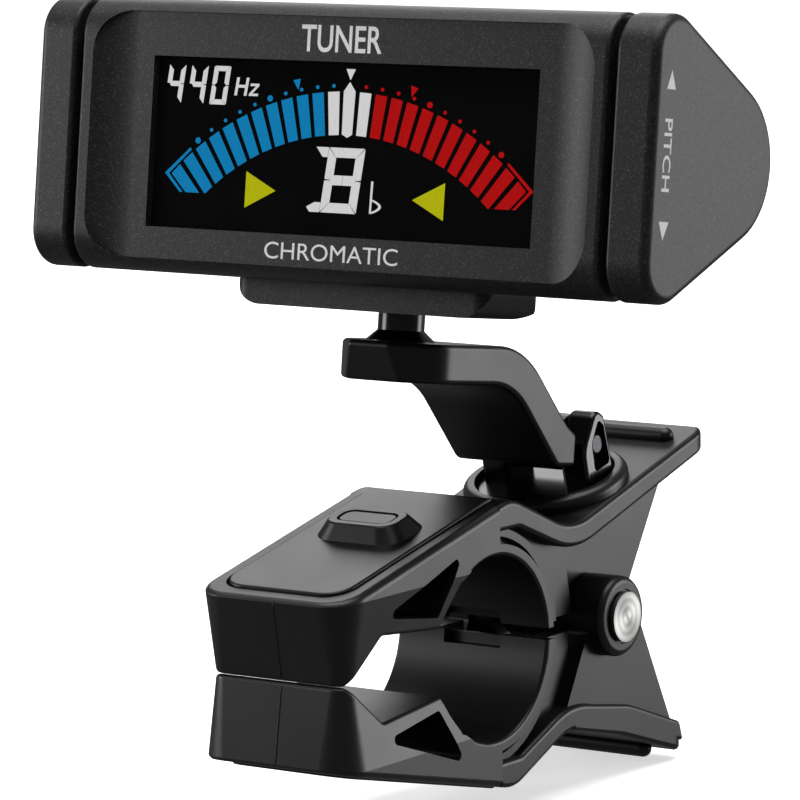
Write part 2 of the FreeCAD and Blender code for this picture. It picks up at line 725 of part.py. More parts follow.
def end_switch(side):
    """Small two-way switch beside the battery bay, worked by the finger of an end cap."""
    centre = 27.6 * side
    body = block((centre - 1.3, centre + 1.3), (1.4, 3.4), (HEAD_MID - 2.4, HEAD_MID + 2.4))
    button = block((centre - 0.7, centre + 0.7), (3.4, 4.0), (HEAD_MID - 0.6, HEAD_MID + 0.6))
    return in_head(join(body, button))


def pickup_sensor():
    """Thin round vibration sensor on the board's back."""
    x, rim = 15.0, BOARD_BACK + 0.2
    plate = rod_y(4.2, BOARD_BACK, rim, x, HEAD_MID)
    element = rod_y(3.0, rim, rim + 0.25, x, HEAD_MID)
    return in_head(join(plate, element))


def battery():
    z = HEAD_MID
    can = rod_x(AAA_R, -AAA_L / 2, AAA_L / 2 - 1.0, AAA_Y, z)
    button = rod_x(1.9, AAA_L / 2 - 1.0, AAA_L / 2, AAA_Y, z)
    return in_head(join(can, button))


def contact_plate():
    x = AAA_L / 2
    return in_head(block((x + 0.02, x + 0.4), (AAA_Y - 3.5, AAA_Y + 3.5), (HEAD_MID - 3.5, HEAD_MID + 3.5)))


def contact_spring():
    x = -AAA_L / 2
    plate = block((x - 2.4, x - 2.1), (AAA_Y - 3.5, AAA_Y + 3.5), (HEAD_MID - 3.5, HEAD_MID + 3.5))
    coil = tube_x(2.6, 1.9, x - 2.1, x, AAA_Y, HEAD_MID)
    return in_head(join(plate, coil))


def case_screws():
    screws = []
    for x, z in screw_spots():
        screws.append(join(rod_y(0.9, 2.0, 9.0, x, z), rod_y(1.6, 9.0, 10.0, x, z)))
    return in_head(Part.makeCompound(screws))


def foot_block():
    """Rounded block under the head that takes the post."""
    half, front_y, back_y = 15.0, 4.8, 15.9
    low = POST_H - DISPLAY_Z
    plan = [(-half, front_y, 1.6), (half, front_y, 1.6), (half, back_y, 4.0), (-half, back_y, 4.0)]
    face = [(-half, low, 3.2), (half, low, 3.2), (half, 0.0), (-half, 0.0)]
    side = [(0.0, low), (back_y, low, 3.0), (back_y, 0.0), (0.0, 0.0)]
    body = prism(plan, "XY", low, 0.0).common(prism(face, "XZ", -10, 30))
    body = body.common(prism(side, "YZ", -FAR, FAR))
    body = body.cut(head_section(0.0, -FAR, FAR))
    post_y = -DISPLAY_Y
    body = body.cut(rod_z(NECK_R + RUN_GAP, -30, 0, 0, post_y))
    body = body.cut(rod_z(CLIP_R + 0.2, low + 1.4, 0, 0, post_y))
    return in_head(body)


def post_clip():
    """Snap ring that keeps the head on the post's neck."""
    low = POST_H + 1.5
    ring = rod_z(CLIP_R, low, low + 0.5, 0, 0).cut(rod_z(NECK_R, 0, 30, 0, 0))
    return on_arm(ring)


def end_cap(side):
    """Twist cap on one end of the head, with its hub and switch finger."""
    inner, outer = CAP_IN, HEAD_HALF
    cap = head_section(0.0, inner, outer)
    cap = soften(cap, 0.9, lambda edge: edge.BoundBox.XMin > outer - 0.001)
    cap = soften(cap, 0.4, lambda edge: edge.BoundBox.XMax < inner + 0.001)
    hollow = head_section(1.3, inner - 1, outer - 1.6)
    cap = cap.cut(hollow)
    hub = rod_x(HUB_R, 26.6, outer - 1.5, HUB_Y, HEAD_MID)
    finger = block((26.8, 28.4), (4.2, HUB_Y), (HEAD_MID - 0.8, HEAD_MID + 0.8))
    cap = join(cap, hub, finger)
    if side < 0:
        cap = cap.mirror(vec(0, 0, 0), vec(1, 0, 0))
    return in_head(cap)


def cap_spring(side):
    """Centring coil around the hub, inside the end cap."""
    low, high = sorted((32.2 * side, 34.0 * side))
    return in_head(tube_x(4.2, 3.4, low, high, HUB_Y, HEAD_MID))


# ---------------------------------------------------------------- write the nodes
NODES = {
    "upper_lever": upper_lever(),
    "upper_pad": pad(),
    "upper_liner": liner(0.6),
    "upper_pad_stud": pad_stud(),
    "lower_lever": lower_lever(),
    "lower_pad": flipped(pad()),
    "lower_liner": flipped(liner(0.6)),
    "torsion_spring": torsion_spring(),
    "pivot_pin": pivot_pin(),
    "turret_clevis": turret(),
    "turret_washer": turret_washer(),
    "turret_screw": turret_screw(),
    "hinge_pin": hinge_pin(),
    "arm": arm(),
    "swivel_post": swivel_post(),
    "post_clip": post_clip(),
    "foot_block": foot_block(),
    "front_case": front_case(),
    "rear_case": rear_case(),
    "battery_cover": battery_cover(),
    "display_window": display_window(),
    "lcd_panel": lcd_panel(),
    "light_guide": light_guide(),
    "circuit_board": circuit_board(),
    "processor": processor(),
    "display_cable": display_cable(),
    "pickup_sensor": pickup_sensor(),
    "power_switch": end_switch(-1),
    "pitch_switch": end_switch(1),
    "battery": battery(),
    "contact_plate": contact_plate(),
    "contact_spring": contact_spring(),
    "case_screws": case_screws(),
    "power_cap": end_cap(-1),
    "power_cap_spring": cap_spring(-1),
    "pitch_cap": end_cap(1),
    "pitch_cap_spring": cap_spring(1),
}

os.makedirs("parts", exist_ok=True)
for name, shape in NODES.items():
    shape.exportStep("parts/" + name + ".step")
    print(name, "valid" if shape.isValid() else "NOT VALID", len(shape.Solids), round(shape.Volume, 2))
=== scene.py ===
"""Looks of the clip-on tuner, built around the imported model."""
import json
import math

import bpy
import numpy as np
from mathutils import Matrix, Vector


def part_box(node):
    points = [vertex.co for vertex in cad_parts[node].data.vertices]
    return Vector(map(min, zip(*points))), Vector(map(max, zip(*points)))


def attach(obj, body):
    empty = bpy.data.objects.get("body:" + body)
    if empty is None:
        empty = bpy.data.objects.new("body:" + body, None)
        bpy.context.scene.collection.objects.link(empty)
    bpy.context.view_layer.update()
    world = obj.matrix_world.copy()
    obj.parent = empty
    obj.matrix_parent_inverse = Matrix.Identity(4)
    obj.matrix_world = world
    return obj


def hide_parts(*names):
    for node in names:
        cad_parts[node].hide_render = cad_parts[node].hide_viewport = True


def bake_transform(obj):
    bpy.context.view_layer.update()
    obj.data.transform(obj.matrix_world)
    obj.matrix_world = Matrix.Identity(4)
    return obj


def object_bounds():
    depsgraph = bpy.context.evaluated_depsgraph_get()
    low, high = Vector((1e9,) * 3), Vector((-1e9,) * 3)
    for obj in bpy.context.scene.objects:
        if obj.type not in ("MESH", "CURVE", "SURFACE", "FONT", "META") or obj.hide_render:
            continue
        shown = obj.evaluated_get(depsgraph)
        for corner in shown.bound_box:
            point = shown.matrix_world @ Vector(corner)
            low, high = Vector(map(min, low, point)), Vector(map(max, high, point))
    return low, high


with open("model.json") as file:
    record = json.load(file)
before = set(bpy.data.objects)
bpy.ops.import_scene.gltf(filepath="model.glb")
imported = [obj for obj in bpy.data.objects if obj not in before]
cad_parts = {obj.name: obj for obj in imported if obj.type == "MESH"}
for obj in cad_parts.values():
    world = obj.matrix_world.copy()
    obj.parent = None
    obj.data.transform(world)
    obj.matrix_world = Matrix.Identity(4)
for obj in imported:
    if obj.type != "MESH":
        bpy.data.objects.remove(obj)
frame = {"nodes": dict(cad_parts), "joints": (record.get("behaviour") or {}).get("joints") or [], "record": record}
cad_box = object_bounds()
nodes = frame["nodes"]
joints = {joint["name"]: joint for joint in frame["joints"]}

MM = 0.001


# ---------------------------------------------------------------- small helpers
def linear(code):
    """sRGB hex colour to linear RGBA."""
    values = [int(code[i:i + 2], 16) / 255 for i in (1, 3, 5)]
    return [v / 12.92 if v <= 0.04045 else ((v + 0.055) / 1.055) ** 2.4 for v in values] + [1.0]


def add(tree, kind, settings=None, links=None):
    """One shader node: lower-case settings are its properties, the others its sockets."""
    node = tree.nodes.new("ShaderNode" + kind)
    for name, value in (settings or {}).items():
        if isinstance(name, str) and name[0].islower():
            setattr(node, name, value)
        else:
            node.inputs[name].default_value = value
    for name, source in (links or {}).items():
        tree.links.new(source, node.inputs[name])
    return node


def material(name, **settings):
    """A material with one Principled shader; returns it with its tree and shader."""
    made = bpy.data.materials.new(name)
    made.use_nodes = True
    shader = made.node_tree.nodes["Principled BSDF"]
    for socket, value in settings.items():
        shader.inputs[socket.replace("_", " ")].default_value = value
    return made, made.node_tree, shader


def per_mm(size):
    """Texture scale whose pattern repeats every `size` millimetres."""
    return 1.0 / (size * MM)


def two_tones(tree, source, low, high, start=0.3, end=0.7):
    """Colour ramp from one tone to another over part of a pattern's range."""
    ramp = add(tree, "ValToRGB", None, {"Fac": source})
    first, last = ramp.color_ramp.elements
    first.position, last.position = start, end
    first.color, last.color = linear(low), linear(high)
    return ramp.outputs["Color"]


# ---------------------------------------------------------------- places read from the frame
class Plane:
    """A flat place on the object: origin in metres and three unit directions in the row frame."""

    def __init__(self, origin, right, back, up):
        self.origin = np.array(origin, float)
        self.axes = np.array([right, back, up], float)

    def put(self, points):
        """Points (x, y, z) in millimetres along right, back and up, as row-frame metres."""
        return self.origin + np.asarray(points, float) * MM @ self.axes


def middle(node):
    """Middle of a node's box."""
    low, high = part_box(node)
    return np.array((low + high) / 2)


HEAD_UP = np.array(joints["head_swivel"]["axis"], float)
HEAD_BACK = np.array(joints["cover_off"]["axis"], float)
ACROSS = np.array([1.0, 0.0, 0.0])
WINDOW_MID_Y = 0.37       # middle of the window's thickness behind the front panel
HEAD = Plane(middle("display_window") - HEAD_BACK * WINDOW_MID_Y * MM, ACROSS, HEAD_BACK, HEAD_UP)
PIVOT = np.array(joints["jaw_open"]["pos_m"], float)
CAP_FACE = 36.0           # outer face of the end caps, from the middle of the head


# ---------------------------------------------------------------- camera, floor and light
AIM = Vector((-4.2, 3.08, 23.3)) * MM
AZIMUTH, PITCH, ROLL = math.radians(34.84), math.radians(7.92), math.radians(-0.80)
DISTANCE = 504.7 * MM
FOCAL = 229.5             # focal length and sensor width in millimetres
SENSOR = 36.0
NEAR = 0.01               # nearest distance drawn, in metres


def make_camera():
    """Long lens at the right of the front, a little above the clip."""
    data = bpy.data.cameras.new("camera")
    data.lens = FOCAL
    data.sensor_width = SENSOR
    data.clip_start = NEAR
    camera = bpy.data.objects.new("camera", data)
    bpy.context.scene.collection.objects.link(camera)
    level = math.cos(PITCH)
    away = Vector((math.sin(AZIMUTH) * level, -math.cos(AZIMUTH) * level, math.sin(PITCH)))
    turn = away.to_track_quat("Z", "Y").to_matrix().to_4x4()
    camera.matrix_world = Matrix.Translation(AIM + away * DISTANCE) @ turn @ Matrix.Rotation(ROLL, 4, "Z")
    bpy.context.scene.camera = camera


def make_floor():
    """White paper just under the object, glowing more with distance so that it stays white to the horizon."""
    size = 4.0  # half of its side, in metres
    below = 0.5 * MM
    low = cad_box[0][2] - below
    corners = [(-size, -size, low), (size, -size, low), (size, size, low), (-size, size, low)]
    mesh = bpy.data.meshes.new("floor")
    mesh.from_pydata(corners, [], [(0, 1, 2, 3)])
    floor = bpy.data.objects.new("floor", mesh)
    bpy.context.scene.collection.objects.link(floor)
    paper, tree, shader = material("paper_floor", Roughness=1.0)
    shader.inputs["Specular IOR Level"].default_value = 0.0
    coords = add(tree, "TexCoord")
    grain = add(tree, "TexNoise", {"Scale": per_mm(40), "Detail": 3.0}, {"Vector": coords.outputs["Object"]})
    tone = two_tones(tree, grain.outputs["Fac"], "#F8F8F8", "#FCFCFC")
    tree.links.new(tone, shader.inputs["Base Color"])
    tree.links.new(tone, shader.inputs["Emission Color"])
    reach = add(tree, "VectorMath", {"operation": "LENGTH"}, {0: coords.outputs["Object"]})
    fade = {"From Min": 0.2, "From Max": 2.0, "To Min": 0.60, "To Max": 1.0}
    glow = add(tree, "MapRange", fade, {"Value": reach.outputs["Value"]})
    tree.links.new(glow.outputs[0], shader.inputs["Emission Strength"])
    mesh.materials.append(paper)
    floor.visible_diffuse = False
    floor.visible_glossy = False


def make_light(name, place, target, size, power):
    """Rectangular soft box at a place, facing its target; the camera doesn't see it."""
    data = bpy.data.lights.new(name, "AREA")
    data.shape = "RECTANGLE"
    data.size, data.size_y = size
    data.energy = power
    light = bpy.data.objects.new(name, data)
    bpy.context.scene.collection.objects.link(light)
    light.location = place
    light.rotation_euler = (Vector(target) - Vector(place)).to_track_quat("-Z", "Y").to_euler()
    light.visible_camera = False


def make_studio():
    """Soft boxes above, at the right, behind and low in front, in a dim even surround."""
    centre = (0.0, 0.0, 0.03)
    make_light("softbox_top", (0.0, 0.0, 0.95), centre, (1.1, 0.9), 14.0)
    make_light("softbox_right", (0.62, 0.70, 0.06), centre, (0.45, 0.45), 4.6)
    make_light("softbox_back", (-0.50, 0.62, 0.42), centre, (0.40, 0.30), 1.1)
    make_light("softbox_front", (-0.36, -0.22, 0.10), centre, (0.16, 0.16), 0.80)
    world = bpy.data.worlds.new("studio_world")
    world.use_nodes = True
    surround = world.node_tree.nodes["Background"]
    surround.inputs["Color"].default_value = linear("#F6F7F8")
    surround.inputs["Strength"].default_value = 0.18
    bpy.context.scene.world = world
    bpy.context.scene.view_settings.view_transform = "Standard"


# ---------------------------------------------------------------- materials
def flake_lacquer():
    """Dark grey metallic lacquer on ABS: fine aluminium flakes in a satin coat, their sparse glints partly painted
    into the colour.
    """
    made, tree, shader = material("grey_flake_lacquer_on_abs", Metallic=0.15, Roughness=0.46)
    shader.inputs["Specular IOR Level"].default_value = 0.33
    coords = add(tree, "TexCoord")
    flake_size = 0.10  # real flakes are about 0.03 mm; drawn larger so that they show
    flakes = add(tree, "TexVoronoi", {"Scale": per_mm(flake_size)}, {"Vector": coords.outputs["Object"]})
    pick = add(tree, "SeparateColor", None, {"Color": flakes.outputs["Color"]})
    # Lighter flake cells in the base colour: partly the flakes' own paler metal, partly painted glint standing in
    # for their sparkle.
    flake_tone_and_glint = two_tones(tree, pick.outputs["Red"], "#202022", "#4C4C51", 0.82, 1.0)
    cloud = add(tree, "TexNoise", {"Scale": per_mm(0.5), "Detail": 4.0}, {"Vector": coords.outputs["Object"]})
    shade = two_tones(tree, cloud.outputs["Fac"], "#D6D6D6", "#FFFFFF")
    tone = add(tree, "Mix", {"data_type": "RGBA", "blend_type": "MULTIPLY", 0: 1.0}, {6: flake_tone_and_glint, 7: shade})
    tree.links.new(tone.outputs[2], shader.inputs["Base Color"])
    bump = add(tree, "Bump", {"Strength": 0.06, "Distance": 0.006 * MM}, {"Height": pick.outputs["Green"]})
    tree.links.new(bump.outputs["Normal"], shader.inputs["Normal"])
    return made


def moulded(name, low, high, roughness, grain, depth, shine=0.5):
    """Moulded plastic or rubber: two close tones, spark-eroded grain and slightly uneven gloss."""
    made, tree, shader = material(name, Roughness=roughness)
    shader.inputs["Specular IOR Level"].default_value = shine
    coords = add(tree, "TexCoord")
    cloud = add(tree, "TexNoise", {"Scale": per_mm(6), "Detail": 4.0}, {"Vector": coords.outputs["Object"]})
    tree.links.new(two_tones(tree, cloud.outputs["Fac"], low, high), shader.inputs["Base Color"])
    span = {"To Min": roughness - 0.04, "To Max": roughness + 0.05}
    gloss = add(tree, "MapRange", span, {"Value": cloud.outputs["Fac"]})
    tree.links.new(gloss.outputs[0], shader.inputs["Roughness"])
    fine = {"Scale": per_mm(grain), "Detail": 2.0}
    pits = add(tree, "TexNoise", fine, {"Vector": coords.outputs["Object"]})
    bump = add(tree, "Bump", {"Strength": 0.3, "Distance": depth * MM}, {"Height": pits.outputs["Fac"]})
    tree.links.new(bump.outputs["Normal"], shader.inputs["Normal"])
    return made


def metal(name, low, high, roughness, line):
    """Bare metal: fine tool marks, `line` mm apart, break up its reflections."""
    made, tree, shader = material(name, Metallic=1.0, Roughness=roughness)
    coords = add(tree, "TexCoord")
    spacing = {"Scale": per_mm(line), "Detail": 4.0}
    lines = add(tree, "TexNoise", spacing, {"Vector": coords.outputs["Object"]})
    tree.links.new(two_tones(tree, lines.outputs["Fac"], low, high), shader.inputs["Base Color"])
    bump = add(tree, "Bump", {"Strength": 0.15, "Distance": 0.004 * MM}, {"Height": lines.outputs["Fac"]})
    tree.links.new(bump.outputs["Normal"], shader.inputs["Normal"])
    return made


def brushed_disc():
    """Bright steel pin head, faced on a lathe: rings round its axis spread the light in a fan."""
    made, tree, shader = material("lathe_faced_steel", Metallic=1.0, Roughness=0.42)
    shader.inputs["Anisotropic"].default_value = 0.6
    coords = add(tree, "TexCoord")
    shift = {"vector_type": "POINT", "Location": tuple(-PIVOT)}
    centre = add(tree, "Mapping", shift, {"Vector": coords.outputs["Object"]})
    ring_scale = per_mm(0.9) / 3
    turned = {"wave_type": "RINGS", "rings_direction": "X", "Scale": ring_scale, "Distortion": 1.0}
    rings = add(tree, "TexWave", turned, {"Vector": centre.outputs["Vector"]})
    tone = two_tones(tree, rings.outputs["Fac"], "#8E8E8C", "#A6A6A4", 0.0, 1.0)
    tree.links.new(tone, shader.inputs["Base Color"])
    turn = add(tree, "Tangent", {"direction_type": "RADIAL", "axis": "X"})
    tree.links.new(turn.outputs["Tangent"], shader.inputs["Tangent"])
    return made


def window_acrylic():
    """Clear acrylic with an anti-glare coat: hardly any reflection, only a faint smoky veil."""
    made, tree, shader = material("coated_clear_acrylic", Roughness=0.15, IOR=1.49, Alpha=0.03)
    coords = add(tree, "TexCoord")
    veil = add(tree, "TexNoise", {"Scale": per_mm(20)}, {"Vector": coords.outputs["Object"]})
    tree.links.new(two_tones(tree, veil.outputs["Fac"], "#0A0A0A", "#101010"), shader.inputs["Base Color"])
    return made


def lit_segment(name, low, high, strength):
    """Colour filter over the lit display cell: an even glow with the faint grain of the polariser."""
    made, tree, shader = material(name, Roughness=0.6)
    shader.inputs["Specular IOR Level"].default_value = 0.0
    shader.inputs["Emission Strength"].default_value = strength
    coords = add(tree, "TexCoord")
    speck = {"Scale": per_mm(0.25), "Detail": 2.0}
    grain = add(tree, "TexNoise", speck, {"Vector": coords.outputs["Object"]})
    tone = two_tones(tree, grain.outputs["Fac"], low, high)
    tree.links.new(tone, shader.inputs["Emission Color"])
    dark = two_tones(tree, grain.outputs["Fac"], "#050505", "#080808")
    tree.links.new(dark, shader.inputs["Base Color"])
    return made


def pad_ink():
    """White pad-printing ink: matt, slightly uneven where it lies over the lacquer."""
    made, tree, shader = material("white_pad_print_ink", Roughness=0.6)
    coords = add(tree, "TexCoord")
    grain = add(tree, "TexNoise", {"Scale": per_mm(0.3), "Detail": 3.0}, {"Vector": coords.outputs["Object"]})
    tree.links.new(two_tones(tree, grain.outputs["Fac"], "#EDEDED", "#F8F8F8"), shader.inputs["Base Color"])
    return made


def cell_sleeve():
    """Printed shrink sleeve of the cell: glossy dark body, copper-coloured band at the positive end."""
    made, tree, shader = material("printed_shrink_sleeve", Roughness=0.28)
    coords = add(tree, "TexCoord")
    split = add(tree, "SeparateXYZ", None, {"Vector": coords.outputs["Object"]})
    band_start = 11 * MM
    band = add(tree, "Math", {"operation": "GREATER_THAN", 1: band_start}, {0: split.outputs["X"]})
    cloud = add(tree, "TexNoise", {"Scale": per_mm(3), "Detail": 3.0}, {"Vector": coords.outputs["Object"]})
    body = two_tones(tree, cloud.outputs["Fac"], "#26282C", "#2E3035")
    copper = two_tones(tree, cloud.outputs["Fac"], "#A8672F", "#B67438")
    both = add(tree, "Mix", {"data_type": "RGBA"}, {0: band.outputs[0], 6: body, 7: copper})
    tree.links.new(both.outputs[2], shader.inputs["Base Color"])
    return made


LACQUER = flake_lacquer()
# Satin black: a dull grey sheen on the broad faces, crisp lines along the edges.
NYLON = moulded("black_glass_filled_nylon", "#080809", "#0C0C0D", 0.36, 0.12, 0.006, 0.34)
# Soft black: a broader, hazier sheen than the nylon.
RUBBER = moulded("black_thermoplastic_rubber", "#09090A", "#0D0D0E", 0.40, 0.16, 0.006, 0.45)
# Slippery polished black: narrow bright streaks on round parts.
GLOSS_BLACK = moulded("black_acetal", "#040405", "#070708", 0.20, 0.4, 0.002, 0.35)
# Cold bright metal with sharp highlights.
STEEL = metal("bright_turned_steel", "#B9BABB", "#DADADA", 0.25, 0.3)
# Nearly black metal with a faint gleam.
BLACKED = metal("black_oxide_steel", "#2A2A2C", "#3C3C3F", 0.3, 0.2)
# Pale grey wire with a small glint on every turn.
WIRE = metal("zinc_plated_spring_wire", "#8E8F92", "#B8B9BB", 0.25, 0.2)
# Dead black ground that makes the lit figures stand out.
LCD = moulded("black_display_cell", "#0B0B0B", "#0F0F0F", 0.6, 1.0, 0.001, 0.0)
# Milky white sheet, softly glossy.
GUIDE = moulded("milky_acrylic_light_guide", "#E4E6E8", "#F0F1F2", 0.3, 0.5, 0.004)
# Deep green gloss.
BOARD = moulded("green_solder_mask_on_fibreglass", "#0F4A24", "#14592C", 0.35, 0.3, 0.01)
# Dull charcoal with hardly any shine.
EPOXY = moulded("black_moulded_epoxy", "#131313", "#191919", 0.5, 0.1, 0.01)
# Warm amber ribbon with a smooth shine.
AMBER = moulded("amber_polyimide_film", "#A8641C", "#B87022", 0.3, 0.5, 0.003)
# Warm yellow metal.
BRASS = metal("rolled_brass", "#B08A3E", "#CBA658", 0.3, 0.2)
# Silver with a warm tint.
NICKEL = metal("nickel_plated_strip", "#B9B7B0", "#D3D1CA", 0.25, 0.3)
SLEEVE = cell_sleeve()
ACRYLIC = window_acrylic()
DISC = brushed_disc()
INK = pad_ink()
# Evenly lit colours, brighter than anything round them.
BLUE = lit_segment("lit_blue_segment", "#0E77AC", "#107DB4", 1.0)
RED = lit_segment("lit_red_segment", "#A60D0E", "#AE0F10", 1.0)
YELLOW = lit_segment("lit_yellow_segment", "#ABAC0C", "#B4B50F", 1.0)
WHITE = lit_segment("lit_white_segment", "#CECECE", "#D6D6D6", 1.0)

FINISH = {
    "lever_plastic": NYLON, "soft_rubber": RUBBER, "spring_steel": WIRE, "bright_steel": STEEL,
    "post_plastic": GLOSS_BLACK, "head_plastic": LACQUER, "window_clear": ACRYLIC, "display_black": LCD,
    "guide_white": GUIDE, "board_green": BOARD, "chip_black": EPOXY, "cable_amber": AMBER,
    "sensor_brass": BRASS, "cell_sleeve": SLEEVE, "contact_metal": NICKEL,
}


def dress_nodes():
    """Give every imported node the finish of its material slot."""
    for part in frame["record"]["subparts"]:
        mesh = nodes[part["node"]].data
        mesh.materials.clear()
        mesh.materials.append(FINISH[part["material_slot"]])
    for node, finish in (("pivot_pin", DISC), ("hinge_pin", BLACKED), ("turret_clevis", GLOSS_BLACK)):
        nodes[node].data.materials.clear()
        nodes[node].data.materials.append(finish)


# ---------------------------------------------------------------- building pieces
def piece(name, points, faces, finish, body, smooth=False):
    """Mesh object in row-frame metres, riding on a body."""
    mesh = bpy.data.meshes.new(name)
    mesh.from_pydata(np.asarray(points, float).tolist(), [], faces)
    mesh.polygons.foreach_set("use_smooth", [smooth] * len(mesh.polygons))
    mesh.materials.append(finish)
    made = bpy.data.objects.new(name, mesh)
    bpy.context.scene.collection.objects.link(made)
    if body:
        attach(made, body)
    return made


def signed_area(outline):
    """Half the sum of x * next z - next x * z; positive when the outline runs anticlockwise."""
    x, z = outline[:, 0], outline[:, 1]
    return 0.5 * np.sum(x * np.roll(z, -1) - np.roll(x, -1) * z)


def plates(outlines, front, back, plane):
    """Flat closed plates: each outline (x, z) is copied at two depths, and side walls join the copies."""
    points, faces, start = [], [], 0
    for outline in outlines:
        ring = np.asarray(outline, float)
        if signed_area(ring) < 0:
            ring = ring[::-1]
        count = len(ring)
        for depth in (front, back):
            level = np.full(count, depth)
            points.append(np.column_stack([ring[:, 0], level, ring[:, 1]]))
        near = [start + i for i in range(count)]
        far = [start + count + i for i in range(count)]
        faces.append(near)
        faces.append(far[::-1])
        for i in range(count):
            j = (i + 1) % count
            faces.append([near[i], far[i], far[j], near[j]])
        start += 2 * count
    return plane.put(np.vstack(points)), faces


def wire(centres, radius, sides=12):
    """Round wire with flat ends: a ring of `sides` points, square to the path, round each centre.

    A ring point is centre + radius (cos a * side + sin a * up); side and up are carried along the path.
    """
    along = np.gradient(centres, axis=0)
    along /= np.linalg.norm(along, axis=1)[:, None]
    side = np.zeros_like(centres)
    any_other = np.array([0.3, 0.5, 0.8])  # a direction that no path starts along
    side[0] = np.cross(along[0], any_other)
    side[0] /= np.linalg.norm(side[0])
    for i in range(1, len(centres)):
        carried = side[i - 1] - along[i] * (side[i - 1] @ along[i])
        side[i] = carried / np.linalg.norm(carried)
    up = np.cross(along, side)
    angle = np.arange(sides) * 2 * math.pi / sides
    rings = centres[:, None] + radius * (
        np.cos(angle)[None, :, None] * side[:, None] + np.sin(angle)[None, :, None] * up[:, None])
    faces = []
    for i in range(len(centres) - 1):
        for j in range(sides):
            k = (j + 1) % sides
            faces.append([i * sides + j, i * sides + k, (i + 1) * sides + k, (i + 1) * sides + j])
    last = (len(centres) - 1) * sides
    faces.append(list(range(sides))[::-1])
    faces.append([last + j for j in range(sides)])
    return rings.reshape(-1, 3), faces


def helix(axis, across, centre, radius, start, end, turns, phase=0.0, steps=40):
    """Points centre + axis * s + radius (cos t * across + sin t * (axis x across)).

    The way s along the axis and the turn t grow together, `steps` points to a turn.
    """
    count = int(turns * steps) + 1
    share = np.linspace(0.0, 1.0, count)
    turn = phase + share * turns * 2 * math.pi
    other = np.cross(axis, across)
    return (centre + axis * (start + share * (end - start))[:, None]
            + radius * (np.cos(turn)[:, None] * across + np.sin(turn)[:, None] * other))


# ---------------------------------------------------------------- springs
def torsion_spring():
    """Close-wound coil round the pivot pin; its two legs press the levers apart at the back.

    A round wire along a straight leg, a helix of six and a half turns and a second straight leg.
    """
    thick = 0.42 * MM
    radius = 2.75 * MM
    half = 2.6 * MM
    turns, steps = 6.5, 48
    up = np.array([0.0, 0.0, 1.0])
    coil = helix(ACROSS, up, PIVOT, radius, -half, half, turns, 0.0, steps)
    back, apart = 0.62, 0.6  # slope of the legs
    upper_leg = np.array([0.0, back, apart]) / math.hypot(back, apart)
    lower_leg = np.array([0.0, back, -apart]) / math.hypot(back, apart)
    leg_end, leg_start = 9.0 * MM, 0.8 * MM
    reach = np.linspace(leg_end, leg_start, 12)[:, None]
    first = coil[0] + upper_leg * reach
    last = coil[-1] + lower_leg * reach[::-1]
    path = np.vstack([first, coil, last])
    points, faces = wire(path, thick)
    made = piece("pivot_torsion_spring", points, faces, WIRE, None, True)
    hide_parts("torsion_spring")
    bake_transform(made)
    return made


def coil_piece(name, node, body, turns, thick, finish):
    """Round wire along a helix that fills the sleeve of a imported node, wound from left to right."""
    low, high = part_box(node)
    centre = middle(node)
    radius = (high.z - low.z) / 2
    radius = min(radius, (high.y - low.y) / 2) - thick * MM
    start, end = low.x - centre[0] + thick * MM, high.x - centre[0] - thick * MM
    path = helix(ACROSS, HEAD_UP, centre, radius, start, end, turns, 0.0, 36)
    points, faces = wire(path, thick * MM)
    made = piece(name, points, faces, finish, body, True)
    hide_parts(node)
    return made


def cap_springs():
    """Centring spring behind each end cap."""
    for side in ("power", "pitch"):
        coil_piece(side + "_cap_coil", side + "_cap_spring", "head", 2.5, 0.28, WIRE)


def cell_contact_spring():
    """Tapered coil on a square plate that presses on the cell's flat end.

    A round wire along a helix whose radius shrinks evenly from the plate to the cell.
    """
    low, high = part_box("contact_spring")
    centre = middle("contact_spring")
    turns, steps, thick = 3.5, 36, 0.25 * MM
    wide, taper = 3.0, 1.4
    count = int(turns * steps) + 1
    share = np.linspace(0.0, 1.0, count)
    turn = share * turns * 2 * math.pi
    radius = (wide - taper * share) * MM
    start, end = low.x - centre[0] + 0.35 * MM, high.x - centre[0] - 0.3 * MM
    path = (centre + ACROSS * (start + share * (end - start))[:, None]
            + radius[:, None] * (np.cos(turn)[:, None] * HEAD_UP + np.sin(turn)[:, None] * HEAD_BACK))
    points, faces = wire(path, thick)
    half, corner, plate_t = 3.5, 0.6, 0.3
    square = [(-half + corner, -half), (half - corner, -half), (half, -half + corner), (half, half - corner),
              (half - corner, half), (-half + corner, half), (-half, half - corner), (-half, -half + corner)]
    base = Plane((low.x, centre[1], centre[2]), HEAD_BACK, ACROSS, HEAD_UP)
    more, sides = plates([square], plate_t, 0.0, base)
    shifted = [[i + len(points) for i in face] for face in sides]
    both = np.vstack([points, more])
    made = piece("cell_contact_coil", both, faces + shifted, NICKEL, "head")
    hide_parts("contact_spring")
    return made


# ---------------------------------------------------------------- display figures
ARC_X, ARC_Z = 0.4, -23.47      # centre of the scale's circle, from the display centre
BAR_IN, BAR_OUT = 24.9, 29.05   # radii of the bars' ends
BAR_STEP = 3.675                # degrees between bars
BAR_SPREAD = 1.28               # half of each bar's angle
DOT_R = 29.6                    # radius of the row of dots
SCALE_FLOOR = -4.84             # the scale is cut off level with this height
BIG_DOT, SMALL_DOT = 0.30, 0.18
LEAN = 0.12                     # how far the figures lean to the right as they rise
FIGURE_FRONT, FIGURE_BACK = 0.88, 0.96  # depths of the lit plates, just before the display cell


def at_angle(radius, degrees):
    """Point on the scale's circle; the angle is measured from straight up, to the right."""
    turn = math.radians(degrees)
    return ARC_X + radius * math.sin(turn), ARC_Z + radius * math.cos(turn)


